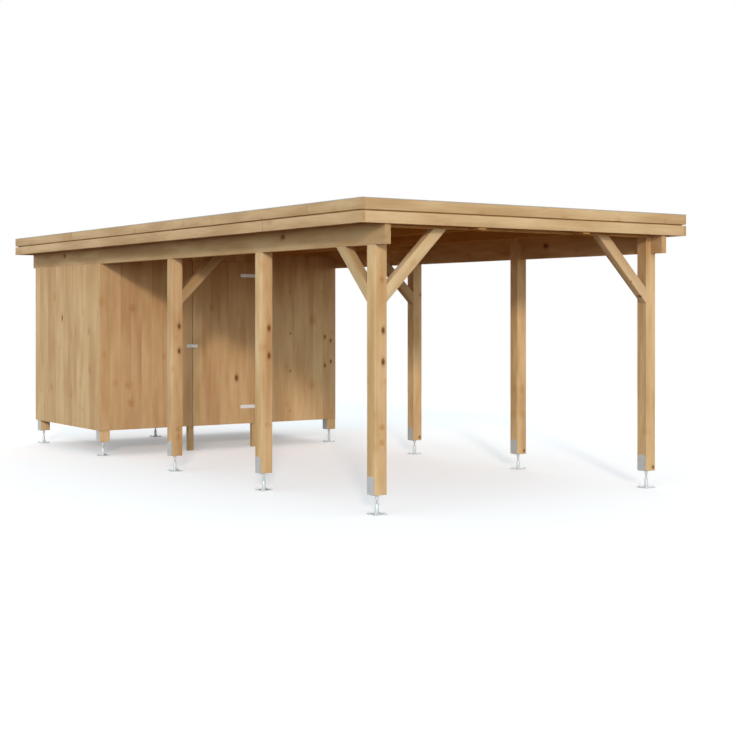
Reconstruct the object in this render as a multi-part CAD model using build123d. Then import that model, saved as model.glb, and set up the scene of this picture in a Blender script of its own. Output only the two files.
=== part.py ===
from build123d import *
import os

# Timber carport with a closed store room in its last bay, in millimetres.
# The car drives in from -Y, the store room is at +Y, +Z is up.  The origin is on the ground, in the
# middle of the roof's outline.

# ---- driving dimensions ----
POST_SIDE = 120
BAY_LENGTH = 1885
BAY_COUNT = 4
FRAME_WIDTH = 3250
POST_BOTTOM = 168

EAVES_FRONT = 170
EAVES_BACK = 145
EAVES_SIDE = 240

SIDE_BEAM_THICKNESS = 60
SIDE_BEAM_BOTTOM = 2240
DECK_BOTTOM = 2490

CROSS_BEAM_THICKNESS = 80
CROSS_BEAM_BOTTOM = 2390
PURLIN_THICKNESS = 80
PURLIN_OFFSET = 605

BRACE_THICKNESS = 80
BRACE_WIDTH = 100
BRACE_FOOT = 1766

TIMBER_ROUNDING = 4
BOARD_ROUNDING = 2

DECK_THICKNESS = 19
COVERING_THICKNESS = 4
FASCIA_THICKNESS = 28
FASCIA_BOTTOM = 2408
FASCIA_BOARD_HEIGHT = 96
FASCIA_GROOVE = 12
BATTEN_WIDTH = 40
BATTEN_HEIGHT = 50
TRIM_THICKNESS = 2
TRIM_WIDTH = 45
TRIM_LIP = 5
JOINT_GAP = 1

CLADDING_THICKNESS = 19
CLADDING_SETBACK = 10
WALL_BOTTOM = 297
RAIL_SIDE = 60
RAIL_CLEARANCE = 7

DOOR_WIDTH = 856
DOOR_TOP = 2290
DOOR_CENTRE_X = -9
DOOR_GAP = 6
DOOR_REBATE = 22
DOOR_POST_WIDTH = 70
DOOR_POST_DEPTH = 60
LEDGE_HEIGHT = 90
LEDGE_THICKNESS = 22
LEDGE_END_GAP = 15
DIAGONAL_WIDTH = 90

HINGE_LOW = 507
HINGE_HIGH = 2127
HINGE_HEIGHT = 40
HINGE_STRAP_LENGTH = 208
HINGE_PLATE_WIDTH = 48
HINGE_PLATE_INSET = 1
HINGE_METAL = 4
HINGE_BARREL_RADIUS = 6
HINGE_PIN_RADIUS = 3
HINGE_PIN_CLEARANCE = 0.3
HINGE_STANDOFF = 10
HINGE_PIN_INSET = 5
HINGE_END_GAP = 0.5

LATCH_HEIGHT = 1267
LATCH_SIDE = 36
LATCH_KNUCKLES = 3
LATCH_METAL = 3
LATCH_BASE_LENGTH = 30
LATCH_PIN_INSET = 25
LATCH_STANDOFF = 9
LATCH_BARREL_RADIUS = 5
LATCH_PIN_RADIUS = 2.5
HASP_LENGTH = 108
STAPLE_ROD = 6
STAPLE_SPREAD = 18
STAPLE_REACH = 75
PADLOCK_ROOM = 9
STAPLE_PLATE_LENGTH = 58
STAPLE_PLATE_HEIGHT = 34
SLOT_CLEARANCE = 7

FOOT_PLATE_SIDE = 125
FOOT_PLATE_THICKNESS = 8
FOOT_HOLE_SPACING = 90
FOOT_HOLE_RADIUS = 6
FOOT_TUBE_RADIUS = 17
FOOT_TUBE_HEIGHT = 78
FOOT_SPINDLE_RADIUS = 10
FOOT_SOCKET_RADIUS = 15
FOOT_SOCKET_HEIGHT = 26
FOOT_NUT_RADIUS = 18
FOOT_NUT_HEIGHT = 10
SHOE_METAL = 5
SHOE_WIDTH = 96
SHOE_HEIGHT = 150
SHOE_CORNER = 28
POCKET_CLEARANCE = 1

# ---- places worked out from them ----
HALF_FRAME = FRAME_WIDTH / 2
POST_ROWS_LENGTH = BAY_COUNT * BAY_LENGTH + POST_SIDE
ROOF_LENGTH = EAVES_FRONT + POST_ROWS_LENGTH + EAVES_BACK
HALF_ROOF = HALF_FRAME + EAVES_SIDE
ROOF_FRONT = -ROOF_LENGTH / 2
ROOF_BACK = ROOF_LENGTH / 2
FIRST_ROW = ROOF_FRONT + EAVES_FRONT
ROWS = [FIRST_ROW + i * BAY_LENGTH for i in range(BAY_COUNT + 1)]
FRAME_BACK = ROWS[-1] + POST_SIDE
STORE_FRONT = ROWS[-2]
INNER_POST_FACE = HALF_FRAME - POST_SIDE
BEAM_INNER_FACE = HALF_FRAME - SIDE_BEAM_THICKNESS
DECK_TOP = DECK_BOTTOM + DECK_THICKNESS
FASCIA_FRONT_INNER = ROOF_FRONT + FASCIA_THICKNESS
FASCIA_BACK_INNER = ROOF_BACK - FASCIA_THICKNESS
FASCIA_SIDE_INNER = HALF_ROOF - FASCIA_THICKNESS
FASCIA_TOP = FASCIA_BOTTOM + 2 * FASCIA_BOARD_HEIGHT + FASCIA_GROOVE
CLADDING_OUT = HALF_FRAME + CLADDING_THICKNESS
CLADDING_FRONT = STORE_FRONT - CLADDING_THICKNESS
CLADDING_BACK = FRAME_BACK + CLADDING_THICKNESS

DOOR_LEFT = DOOR_CENTRE_X - DOOR_WIDTH / 2
DOOR_RIGHT = DOOR_CENTRE_X + DOOR_WIDTH / 2
DOOR_BACK_FACE = STORE_FRONT - DOOR_GAP
DOOR_FRONT_FACE = DOOR_BACK_FACE - CLADDING_THICKNESS
SHOE_TOP = POST_BOTTOM + SHOE_HEIGHT
RAIL_LOW = SHOE_TOP + RAIL_CLEARANCE
RAIL_MIDDLE = LATCH_HEIGHT - RAIL_SIDE / 2
JAMB_LEFT = DOOR_LEFT + DOOR_REBATE
JAMB_RIGHT = DOOR_RIGHT - DOOR_REBATE
HINGE_X = DOOR_RIGHT + HINGE_PIN_INSET
HINGE_Y = DOOR_FRONT_FACE - HINGE_STANDOFF
LATCH_X = DOOR_LEFT + LATCH_PIN_INSET
LATCH_Y = DOOR_FRONT_FACE - LATCH_STANDOFF
STAPLE_X = LATCH_X - STAPLE_REACH


def block(x0, x1, y0, y1, z0, z1):
    """A rectangular piece between two corners."""
    return Pos(x0, y0, z0) * Box(x1 - x0, y1 - y0, z1 - z0, align=(Align.MIN, Align.MIN, Align.MIN))


def rod(x, y, z0, z1, radius):
    """An upright round bar."""
    return Pos(x, y, z0) * Cylinder(radius, z1 - z0, align=(Align.CENTER, Align.CENTER, Align.MIN))


def slab(points, direction, thickness):
    """A flat outline given by its corners, pushed out along a direction."""
    return extrude(make_face(Polyline(*points, close=True)), amount=thickness, dir=direction)


def timber(x0, x1, y0, y1, z0, z1, grain, rounding=TIMBER_ROUNDING):
    """A planed timber between two corners, with its long edges rounded."""
    piece = block(x0, x1, y0, y1, z0, z1)
    return fillet(piece.edges().filter_by(grain), rounding)


def mirrored(piece):
    """The same piece on the other long side."""
    return mirror(piece, about=Plane.YZ)


def save(name, *solids):
    """Write one named piece, or several like pieces, as a STEP file."""
    piece = solids[0] if len(solids) == 1 else Compound(children=list(solids))
    piece.label = name
    export_step(piece, f"parts/{name}.step")


os.makedirs("parts", exist_ok=True)


# ---- posts ----
def side_post(row):
    """A post on the left: its outer part stops under the side beam, its inner part runs on up."""
    post = timber(-HALF_FRAME, -INNER_POST_FACE, row, row + POST_SIDE, POST_BOTTOM, DECK_BOTTOM, Axis.Z)
    notch = block(-HALF_FRAME, -BEAM_INNER_FACE, row, row + POST_SIDE, SIDE_BEAM_BOTTOM, DECK_BOTTOM)
    return post - notch


for number, row in enumerate(ROWS, start=1):
    left_post = side_post(row)
    save(f"left_post_{number}", left_post)
    save(f"right_post_{number}", mirrored(left_post))

HALF_POST = POST_SIDE / 2
save("back_post", timber(-HALF_POST, HALF_POST, ROWS[-1], FRAME_BACK, POST_BOTTOM, CROSS_BEAM_BOTTOM, Axis.Z))


# ---- adjustable steel feet ----
def foot(x, y):
    """A base plate, tube, spindle, nut and socket under a shoe that grips the post from two sides."""
    half_plate = FOOT_PLATE_SIDE / 2
    half_hole = FOOT_HOLE_SPACING / 2
    seat = POST_BOTTOM - SHOE_METAL
    tube_top = FOOT_PLATE_THICKNESS + FOOT_TUBE_HEIGHT
    socket_bottom = seat - FOOT_SOCKET_HEIGHT
    nut_bottom = socket_bottom - FOOT_NUT_HEIGHT
    piece = block(x - half_plate, x + half_plate, y - half_plate, y + half_plate, 0, FOOT_PLATE_THICKNESS)
    for hole_x in (x - half_hole, x + half_hole):
        for hole_y in (y - half_hole, y + half_hole):
            piece -= rod(hole_x, hole_y, 0, FOOT_PLATE_THICKNESS, FOOT_HOLE_RADIUS)
    piece += rod(x, y, FOOT_PLATE_THICKNESS, tube_top, FOOT_TUBE_RADIUS)
    piece += rod(x, y, tube_top, nut_bottom, FOOT_SPINDLE_RADIUS)
    piece += Pos(x, y, nut_bottom) * extrude(RegularPolygon(FOOT_NUT_RADIUS, 6), amount=FOOT_NUT_HEIGHT)
    piece += rod(x, y, socket_bottom, seat, FOOT_SOCKET_RADIUS)
    return piece + shoe(x, y)


def shoe(x, y):
    """A U-shaped shoe: a seat under the post and a plate with rounded corners on two of its faces."""
    out = HALF_POST + SHOE_METAL
    half = SHOE_WIDTH / 2
    piece = block(x - out, x + out, y - half, y + half, POST_BOTTOM - SHOE_METAL, SHOE_TOP)
    upper_corners = piece.edges().filter_by(Axis.X).group_by(Axis.Z)[-1]
    piece = fillet(upper_corners, SHOE_CORNER)
    return piece - block(x - HALF_POST, x + HALF_POST, y - half, y + half, POST_BOTTOM, SHOE_TOP)


POST_LINE = HALF_FRAME - HALF_POST
feet = [foot(x, row + HALF_POST) for x in (-POST_LINE, POST_LINE) for row in ROWS]
save("feet", *feet, foot(0, ROWS[-1] + HALF_POST))


# ---- side beams, cross beams and purlins ----
side_beam = timber(-HALF_FRAME, -BEAM_INNER_FACE, FASCIA_FRONT_INNER, ROOF_BACK, SIDE_BEAM_BOTTOM,
                   DECK_BOTTOM, Axis.Y)
side_beam -= block(-HALF_FRAME, -BEAM_INNER_FACE, FASCIA_BACK_INNER, ROOF_BACK, FASCIA_BOTTOM, DECK_BOTTOM)
save("side_beam_left", side_beam)
save("side_beam_right", mirrored(side_beam))

CROSS_BEAM_FRONTS = {
    "cross_beam_front": ROWS[0],
    "cross_beam_middle": ROWS[2],
    "cross_beam_store": STORE_FRONT,
    "cross_beam_back": FRAME_BACK - CROSS_BEAM_THICKNESS,
}
LAP = (CROSS_BEAM_BOTTOM + DECK_BOTTOM) / 2
HALF_PURLIN = PURLIN_THICKNESS / 2

for name, front in CROSS_BEAM_FRONTS.items():
    back = front + CROSS_BEAM_THICKNESS
    beam = timber(-INNER_POST_FACE, INNER_POST_FACE, front, back, CROSS_BEAM_BOTTOM, DECK_BOTTOM, Axis.X)
    for x in (-PURLIN_OFFSET, PURLIN_OFFSET):
        beam -= block(x - HALF_PURLIN, x + HALF_PURLIN, front, back, CROSS_BEAM_BOTTOM, LAP)
    save(name, beam)

purlin = timber(-PURLIN_OFFSET - HALF_PURLIN, -PURLIN_OFFSET + HALF_PURLIN, FASCIA_FRONT_INNER,
                FASCIA_BACK_INNER, CROSS_BEAM_BOTTOM, DECK_BOTTOM, Axis.Y)
for front in CROSS_BEAM_FRONTS.values():
    purlin -= block(-PURLIN_OFFSET - HALF_PURLIN, -PURLIN_OFFSET + HALF_PURLIN, front,
                    front + CROSS_BEAM_THICKNESS, LAP, DECK_BOTTOM)
save("purlin_left", purlin)
save("purlin_right", mirrored(purlin))


# ---- braces at 45 degrees ----
BRACE_CUT = BRACE_WIDTH * 2 ** 0.5


def brace(corners, across):
    """A slanting timber from its side outline, with its long edges rounded."""
    piece = slab(corners, across, BRACE_THICKNESS)
    grain = Axis(corners[0], Vector(corners[1]) - Vector(corners[0]))
    return fillet(piece.edges().filter_by(grain), TIMBER_ROUNDING)


def lengthwise_brace(row):
    """From the back of a left post up to the underside of the side beam."""
    start = row + POST_SIDE
    reach = SIDE_BEAM_BOTTOM - BRACE_FOOT
    corners = [
        (-HALF_FRAME, start, BRACE_FOOT),
        (-HALF_FRAME, start + reach, SIDE_BEAM_BOTTOM),
        (-HALF_FRAME, start + reach - BRACE_CUT, SIDE_BEAM_BOTTOM),
        (-HALF_FRAME, start, BRACE_FOOT + BRACE_CUT),
    ]
    return brace(corners, (1, 0, 0))


def crosswise_brace(row):
    """From the inner face of a left post up to the underside of a cross beam."""
    start = -INNER_POST_FACE
    reach = CROSS_BEAM_BOTTOM - BRACE_FOOT
    corners = [
        (start, row, BRACE_FOOT),
        (start + reach, row, CROSS_BEAM_BOTTOM),
        (start + reach - BRACE_CUT, row, CROSS_BEAM_BOTTOM),
        (start, row, BRACE_FOOT + BRACE_CUT),
    ]
    return brace(corners, (0, 1, 0))


left_braces = [lengthwise_brace(ROWS[0]), crosswise_brace(ROWS[0]), crosswise_brace(ROWS[2])]
save("braces_left", *left_braces)
save("braces_right", *[mirrored(brace) for brace in left_braces])


# ---- roof ----
save("roof_deck", block(-FASCIA_SIDE_INNER, FASCIA_SIDE_INNER, FASCIA_FRONT_INNER, FASCIA_BACK_INNER,
                        DECK_BOTTOM, DECK_TOP))

TRAY_SIDE = FASCIA_SIDE_INNER - BATTEN_WIDTH
TRAY_FRONT = FASCIA_FRONT_INNER + BATTEN_WIDTH
TRAY_BACK = FASCIA_BACK_INNER - BATTEN_WIDTH
BATTEN_TOP = DECK_TOP + BATTEN_HEIGHT
save("roof_covering", block(-TRAY_SIDE, TRAY_SIDE, TRAY_FRONT, TRAY_BACK, DECK_TOP,
                            DECK_TOP + COVERING_THICKNESS))
side_batten = block(-FASCIA_SIDE_INNER, -TRAY_SIDE, FASCIA_FRONT_INNER, FASCIA_BACK_INNER, DECK_TOP,
                    BATTEN_TOP)
BATTEN_END = TRAY_SIDE - JOINT_GAP
save("fascia_battens", side_batten, mirrored(side_batten),
     block(-BATTEN_END, BATTEN_END, FASCIA_FRONT_INNER, TRAY_FRONT, DECK_TOP, BATTEN_TOP),
     block(-BATTEN_END, BATTEN_END, TRAY_BACK, FASCIA_BACK_INNER, DECK_TOP, BATTEN_TOP))


def fascia_boards(x0, x1, y0, y1, grain):
    """Two boards on edge, one above the other, with an open groove between them."""
    upper_bottom = FASCIA_TOP - FASCIA_BOARD_HEIGHT
    lower_top = FASCIA_BOTTOM + FASCIA_BOARD_HEIGHT
    lower = timber(x0, x1, y0, y1, FASCIA_BOTTOM, lower_top, grain, BOARD_ROUNDING)
    upper = timber(x0, x1, y0, y1, upper_bottom, FASCIA_TOP, grain, BOARD_ROUNDING)
    return [lower, upper]


left_fascia = fascia_boards(-HALF_ROOF, -FASCIA_SIDE_INNER, ROOF_FRONT, ROOF_BACK, Axis.Y)
save("fascia_left", *left_fascia)
save("fascia_right", *[mirrored(board) for board in left_fascia])
save("fascia_front",
     *fascia_boards(-FASCIA_SIDE_INNER, FASCIA_SIDE_INNER, ROOF_FRONT, FASCIA_FRONT_INNER, Axis.X))
save("fascia_back",
     *fascia_boards(-FASCIA_SIDE_INNER, FASCIA_SIDE_INNER, FASCIA_BACK_INNER, ROOF_BACK, Axis.X))

TRIM_TOP = FASCIA_TOP + TRIM_THICKNESS
TRIM_OUT = HALF_ROOF + TRIM_THICKNESS
TRIM_FRONT = ROOF_FRONT - TRIM_THICKNESS
TRIM_BACK = ROOF_BACK + TRIM_THICKNESS
TRIM_CROSS_END = TRIM_OUT - TRIM_WIDTH - JOINT_GAP
side_trim = block(-TRIM_OUT, -TRIM_OUT + TRIM_WIDTH, TRIM_FRONT, TRIM_BACK, FASCIA_TOP - TRIM_LIP, TRIM_TOP)
side_trim -= block(-HALF_ROOF, -TRIM_OUT + TRIM_WIDTH, ROOF_FRONT, ROOF_BACK, FASCIA_TOP - TRIM_LIP,
                   FASCIA_TOP)
front_trim = block(-TRIM_CROSS_END, TRIM_CROSS_END, TRIM_FRONT, TRIM_FRONT + TRIM_WIDTH,
                   FASCIA_TOP - TRIM_LIP, TRIM_TOP)
front_trim -= block(-TRIM_CROSS_END, TRIM_CROSS_END, ROOF_FRONT, TRIM_FRONT + TRIM_WIDTH,
                    FASCIA_TOP - TRIM_LIP, FASCIA_TOP)
save("roof_edge_trim", side_trim, mirrored(side_trim), front_trim, mirror(front_trim, about=Plane.XZ))


# ---- store room walls ----
def corner_notch(y0, y1):
    """Room for both side beams where they pass through the cladding."""
    left = block(-CLADDING_OUT, -BEAM_INNER_FACE, y0, y1, SIDE_BEAM_BOTTOM, CROSS_BEAM_BOTTOM)
    return left + mirrored(left)


def side_wall(front):
    """Cladding on the left between its front edge and the back posts, with room for the shoes' plates."""
    wall = block(-CLADDING_OUT, -HALF_FRAME, front, FRAME_BACK, WALL_BOTTOM, SIDE_BEAM_BOTTOM)
    half = SHOE_WIDTH / 2 + POCKET_CLEARANCE
    depth = SHOE_METAL + POCKET_CLEARANCE
    for row in ROWS[-2:]:
        centre = row + HALF_POST
        wall -= block(-HALF_FRAME - depth, -HALF_FRAME, centre - half, centre + half, WALL_BOTTOM,
                      SHOE_TOP + POCKET_CLEARANCE)
    return wall


# The left wall covers its front post; the right wall leaves the front half of its post's face bare.
save("wall_left", side_wall(STORE_FRONT))
save("wall_right", mirrored(side_wall(STORE_FRONT + HALF_POST)))

wall_back = block(-CLADDING_OUT, CLADDING_OUT, FRAME_BACK, CLADDING_BACK, WALL_BOTTOM, CROSS_BEAM_BOTTOM)
save("wall_back", wall_back - corner_notch(FRAME_BACK, CLADDING_BACK))

front_notch = corner_notch(CLADDING_FRONT, STORE_FRONT)
wall_front_left = block(-CLADDING_OUT, DOOR_LEFT - DOOR_GAP, CLADDING_FRONT, STORE_FRONT, WALL_BOTTOM,
                        CROSS_BEAM_BOTTOM)
save("wall_front_left", wall_front_left - front_notch)
wall_front_right = block(DOOR_RIGHT + DOOR_GAP, HALF_FRAME - CLADDING_SETBACK, CLADDING_FRONT, STORE_FRONT,
                         WALL_BOTTOM, CROSS_BEAM_BOTTOM)
save("wall_front_right", wall_front_right - front_notch)
save("wall_front_top", block(DOOR_LEFT - DOOR_GAP, DOOR_RIGHT + DOOR_GAP, CLADDING_FRONT, STORE_FRONT,
                             DOOR_TOP + DOOR_GAP, CROSS_BEAM_BOTTOM))


def door_post(x0):
    """A slim post beside the doorway, down to the ground."""
    return timber(x0, x0 + DOOR_POST_WIDTH, STORE_FRONT, STORE_FRONT + DOOR_POST_DEPTH, 0,
                  CROSS_BEAM_BOTTOM, Axis.Z, BOARD_ROUNDING)


DOOR_POST_LEFT = JAMB_LEFT - DOOR_POST_WIDTH
save("door_posts", door_post(DOOR_POST_LEFT), door_post(JAMB_RIGHT))


def rails(x0, x1, y0, y1, top):
    """Bottom, middle and top rail between two posts."""
    return [block(x0, x1, y0, y1, z, z + RAIL_SIDE) for z in (RAIL_LOW, RAIL_MIDDLE, top - RAIL_SIDE)]


side_rails = rails(-HALF_FRAME, -HALF_FRAME + RAIL_SIDE, STORE_FRONT + POST_SIDE, ROWS[-1], SIDE_BEAM_BOTTOM)
back_rails = rails(-INNER_POST_FACE, -HALF_POST, FRAME_BACK - RAIL_SIDE, FRAME_BACK, CROSS_BEAM_BOTTOM)
RAIL_BACK = STORE_FRONT + RAIL_SIDE
left_rails = rails(-INNER_POST_FACE, DOOR_POST_LEFT, STORE_FRONT, RAIL_BACK, CROSS_BEAM_BOTTOM)
right_rails = rails(JAMB_RIGHT + DOOR_POST_WIDTH, INNER_POST_FACE, STORE_FRONT, RAIL_BACK, CROSS_BEAM_BOTTOM)
door_head = block(JAMB_LEFT, JAMB_RIGHT, STORE_FRONT, STORE_FRONT + DOOR_POST_DEPTH,
                  DOOR_TOP - DOOR_REBATE, CROSS_BEAM_BOTTOM)
paired_rails = side_rails + back_rails
save("wall_rails", *paired_rails, *[mirrored(rail) for rail in paired_rails], *left_rails, *right_rails,
     door_head)


# ---- door ----
save("door_leaf", block(DOOR_LEFT, DOOR_RIGHT, DOOR_FRONT_FACE, DOOR_BACK_FACE, WALL_BOTTOM, DOOR_TOP))

LEDGE_LEFT = JAMB_LEFT + LEDGE_END_GAP
LEDGE_RIGHT = JAMB_RIGHT - LEDGE_END_GAP
LEDGE_BACK = DOOR_BACK_FACE + LEDGE_THICKNESS
LEDGE_CENTRES = (HINGE_LOW, LATCH_HEIGHT, HINGE_HIGH)
ledges = [
    block(LEDGE_LEFT, LEDGE_RIGHT, DOOR_BACK_FACE, LEDGE_BACK, z - LEDGE_HEIGHT / 2, z + LEDGE_HEIGHT / 2)
    for z in LEDGE_CENTRES
]


def door_diagonal(low_ledge, high_ledge):
    """A board from the hinge end of one ledge up to the latch end of the next."""
    low = low_ledge + LEDGE_HEIGHT / 2 + JOINT_GAP
    high = high_ledge - LEDGE_HEIGHT / 2 - JOINT_GAP
    corners = [
        (LEDGE_RIGHT, DOOR_BACK_FACE, low),
        (LEDGE_LEFT + DIAGONAL_WIDTH, DOOR_BACK_FACE, high),
        (LEDGE_LEFT, DOOR_BACK_FACE, high),
        (LEDGE_RIGHT - DIAGONAL_WIDTH, DOOR_BACK_FACE, low),
    ]
    return slab(corners, (0, 1, 0), LEDGE_THICKNESS)


save("door_ledges", *ledges, door_diagonal(HINGE_LOW, LATCH_HEIGHT), door_diagonal(LATCH_HEIGHT, HINGE_HIGH))


# ---- strap hinges ----
HALF_HINGE = HINGE_HEIGHT / 2


def hinge_strap(z):
    """The strap on the door with its knuckle round the lower half of the pin."""
    bottom = z - HALF_HINGE
    top = z + HALF_HINGE
    knuckle_top = z - HINGE_END_GAP
    front = DOOR_FRONT_FACE - HINGE_METAL
    clear_x = HINGE_X - HINGE_BARREL_RADIUS - HINGE_METAL
    strap = block(HINGE_X - HINGE_STRAP_LENGTH, clear_x, front, DOOR_FRONT_FACE, bottom, top)
    strap += block(clear_x, HINGE_X, front, DOOR_FRONT_FACE, bottom, knuckle_top)
    strap += block(HINGE_X - HINGE_BARREL_RADIUS, HINGE_X, HINGE_Y, DOOR_FRONT_FACE, bottom, knuckle_top)
    strap += rod(HINGE_X, HINGE_Y, bottom, knuckle_top, HINGE_BARREL_RADIUS)
    return strap - rod(HINGE_X, HINGE_Y, bottom, top, HINGE_PIN_RADIUS + HINGE_PIN_CLEARANCE)


def hinge_plate(z):
    """The plate on the wall with the upper knuckle and the pin."""
    bottom = z - HALF_HINGE
    top = z + HALF_HINGE
    knuckle_bottom = z + HINGE_END_GAP
    plate_left = DOOR_RIGHT + DOOR_GAP + HINGE_PLATE_INSET
    plate = block(plate_left, plate_left + HINGE_PLATE_WIDTH, CLADDING_FRONT - HINGE_METAL, CLADDING_FRONT,
                  bottom, top)
    plate += block(HINGE_X, plate_left + HINGE_METAL, HINGE_Y, CLADDING_FRONT, knuckle_bottom, top)
    plate += rod(HINGE_X, HINGE_Y, knuckle_bottom, top, HINGE_BARREL_RADIUS)
    return plate + rod(HINGE_X, HINGE_Y, bottom, top, HINGE_PIN_RADIUS)


save("hinge_straps", hinge_strap(HINGE_LOW), hinge_strap(HINGE_HIGH))
save("hinge_plates", hinge_plate(HINGE_LOW), hinge_plate(HINGE_HIGH))


# ---- hasp and staple ----
LATCH_BOTTOM = LATCH_HEIGHT - LATCH_SIDE / 2
LATCH_TOP = LATCH_HEIGHT + LATCH_SIDE / 2
LATCH_JOINT_LOW = LATCH_BOTTOM + LATCH_SIDE / LATCH_KNUCKLES
LATCH_JOINT_HIGH = LATCH_TOP - LATCH_SIDE / LATCH_KNUCKLES

latch_plate = block(LATCH_X + LATCH_BARREL_RADIUS, LATCH_X + LATCH_BARREL_RADIUS + LATCH_BASE_LENGTH,
                    DOOR_FRONT_FACE - LATCH_METAL, DOOR_FRONT_FACE, LATCH_BOTTOM, LATCH_TOP)
for low, high in ((LATCH_BOTTOM, LATCH_JOINT_LOW), (LATCH_JOINT_HIGH, LATCH_TOP)):
    latch_plate += rod(LATCH_X, LATCH_Y, low, high, LATCH_BARREL_RADIUS)
    latch_plate += block(LATCH_X, LATCH_X + LATCH_BARREL_RADIUS, LATCH_Y, DOOR_FRONT_FACE, low, high)
    latch_plate += block(LATCH_X + LATCH_BARREL_RADIUS, LATCH_X + 2 * LATCH_BARREL_RADIUS,
                         DOOR_FRONT_FACE - LATCH_METAL, DOOR_FRONT_FACE, low, high)
latch_plate += rod(LATCH_X, LATCH_Y, LATCH_BOTTOM, LATCH_TOP, LATCH_PIN_RADIUS)
save("latch_plate", latch_plate)

hasp_front = LATCH_Y - LATCH_METAL / 2
hasp_back = LATCH_Y + LATCH_METAL / 2
hasp_low = LATCH_JOINT_LOW + HINGE_END_GAP
hasp_high = LATCH_JOINT_HIGH - HINGE_END_GAP
strap_right = LATCH_X - LATCH_BARREL_RADIUS - LATCH_METAL
hasp = block(LATCH_X - HASP_LENGTH, strap_right, hasp_front, hasp_back, LATCH_BOTTOM, LATCH_TOP)
hasp += block(strap_right, LATCH_X, hasp_front, hasp_back, hasp_low, hasp_high)
hasp += rod(LATCH_X, LATCH_Y, hasp_low, hasp_high, LATCH_BARREL_RADIUS)
hasp -= rod(LATCH_X, LATCH_Y, LATCH_BOTTOM, LATCH_TOP, LATCH_PIN_RADIUS + HINGE_PIN_CLEARANCE)
slot_half_length = (STAPLE_SPREAD + STAPLE_ROD) / 2 + SLOT_CLEARANCE
slot_half_height = STAPLE_ROD / 2 + SLOT_CLEARANCE
hasp -= block(STAPLE_X - slot_half_length, STAPLE_X + slot_half_length, hasp_front, hasp_back,
              LATCH_HEIGHT - slot_half_height, LATCH_HEIGHT + slot_half_height)
save("latch_hasp", hasp)

staple_half = STAPLE_PLATE_LENGTH / 2
staple_front = CLADDING_FRONT - LATCH_METAL
latch_staple = block(STAPLE_X - staple_half, STAPLE_X + staple_half, staple_front, CLADDING_FRONT,
                     LATCH_HEIGHT - STAPLE_PLATE_HEIGHT / 2, LATCH_HEIGHT + STAPLE_PLATE_HEIGHT / 2)
half_rod = STAPLE_ROD / 2
loop_out = STAPLE_SPREAD / 2 + half_rod
loop_in = STAPLE_SPREAD / 2 - half_rod
loop_tip = hasp_front - PADLOCK_ROOM - STAPLE_ROD
loop = block(STAPLE_X - loop_out, STAPLE_X + loop_out, loop_tip, staple_front, LATCH_HEIGHT - half_rod,
             LATCH_HEIGHT + half_rod)
loop -= block(STAPLE_X - loop_in, STAPLE_X + loop_in, loop_tip + STAPLE_ROD, staple_front,
              LATCH_HEIGHT - half_rod, LATCH_HEIGHT + half_rod)
save("latch_staple", latch_staple + loop)
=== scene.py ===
import bpy
import bmesh
import math
import random
from itertools import pairwise
from mathutils import Euler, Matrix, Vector


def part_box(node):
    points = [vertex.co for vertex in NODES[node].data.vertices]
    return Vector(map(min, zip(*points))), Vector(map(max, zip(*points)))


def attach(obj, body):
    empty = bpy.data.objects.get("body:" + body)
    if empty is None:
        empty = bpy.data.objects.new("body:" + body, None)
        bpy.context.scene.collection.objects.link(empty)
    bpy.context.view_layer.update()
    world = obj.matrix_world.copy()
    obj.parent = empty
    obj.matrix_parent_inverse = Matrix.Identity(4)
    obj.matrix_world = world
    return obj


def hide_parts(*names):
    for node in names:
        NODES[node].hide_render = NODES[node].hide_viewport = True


# A timber carport with a store room: boards, fixings, finishes, light and camera, in metres.

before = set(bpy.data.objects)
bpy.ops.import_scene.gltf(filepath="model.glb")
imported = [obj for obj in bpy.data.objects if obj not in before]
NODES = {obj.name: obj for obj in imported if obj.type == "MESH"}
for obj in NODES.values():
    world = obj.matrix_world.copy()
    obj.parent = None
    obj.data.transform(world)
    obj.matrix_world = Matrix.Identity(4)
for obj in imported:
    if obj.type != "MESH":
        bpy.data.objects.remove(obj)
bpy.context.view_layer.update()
scene = bpy.context.scene
dice = random.Random(11)

X_AXIS, Y_AXIS, Z_AXIS = Vector((1, 0, 0)), Vector((0, 1, 0)), Vector((0, 0, 1))


# ---- camera ----
def new_object(name, data):
    """A new object in the scene, at the origin."""
    made = bpy.data.objects.new(name, data)
    scene.collection.objects.link(made)
    return made


def add_camera():
    """Eye-level view past the front left corner."""
    data = bpy.data.cameras.new("camera")
    data.lens = 67.82
    data.sensor_width = 36.0
    data.shift_x = -0.0003
    data.shift_y = -0.0779
    data.clip_end = 200.0
    camera = new_object("camera", data)
    camera.location = (-8.090, -13.260, 1.694)
    camera.rotation_euler = (math.radians(90), 0, math.radians(-34.12))
    scene.camera = camera


# ---- shader helpers ----
def join(tree, value, socket):
    """Link a socket, or set a plain value."""
    if isinstance(value, bpy.types.NodeSocket):
        tree.links.new(value, socket)
    else:
        socket.default_value = value


def add(tree, kind, inputs=None, **settings):
    """A shader node with its settings and its inputs by name or number."""
    made = tree.nodes.new("ShaderNode" + kind)
    for key, value in settings.items():
        setattr(made, key, value)
    for key, value in (inputs or {}).items():
        join(tree, value, made.inputs[key])
    return made


def maths(tree, operation, a, b=0.0):
    return add(tree, "Math", {0: a, 1: b}, operation=operation).outputs[0]


def times(tree, a, b):
    return maths(tree, "MULTIPLY", a, b)


def plus(tree, a, b):
    return maths(tree, "ADD", a, b)


def less(tree, a, b):
    return maths(tree, "SUBTRACT", a, b)


def vector_maths(tree, operation, a, b):
    return add(tree, "VectorMath", {0: a, 1: b}, operation=operation).outputs[0]


def scaled(tree, vector, factors):
    return vector_maths(tree, "MULTIPLY", vector, factors)


def length(tree, vector):
    return add(tree, "VectorMath", {0: vector}, operation="LENGTH").outputs["Value"]


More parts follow.
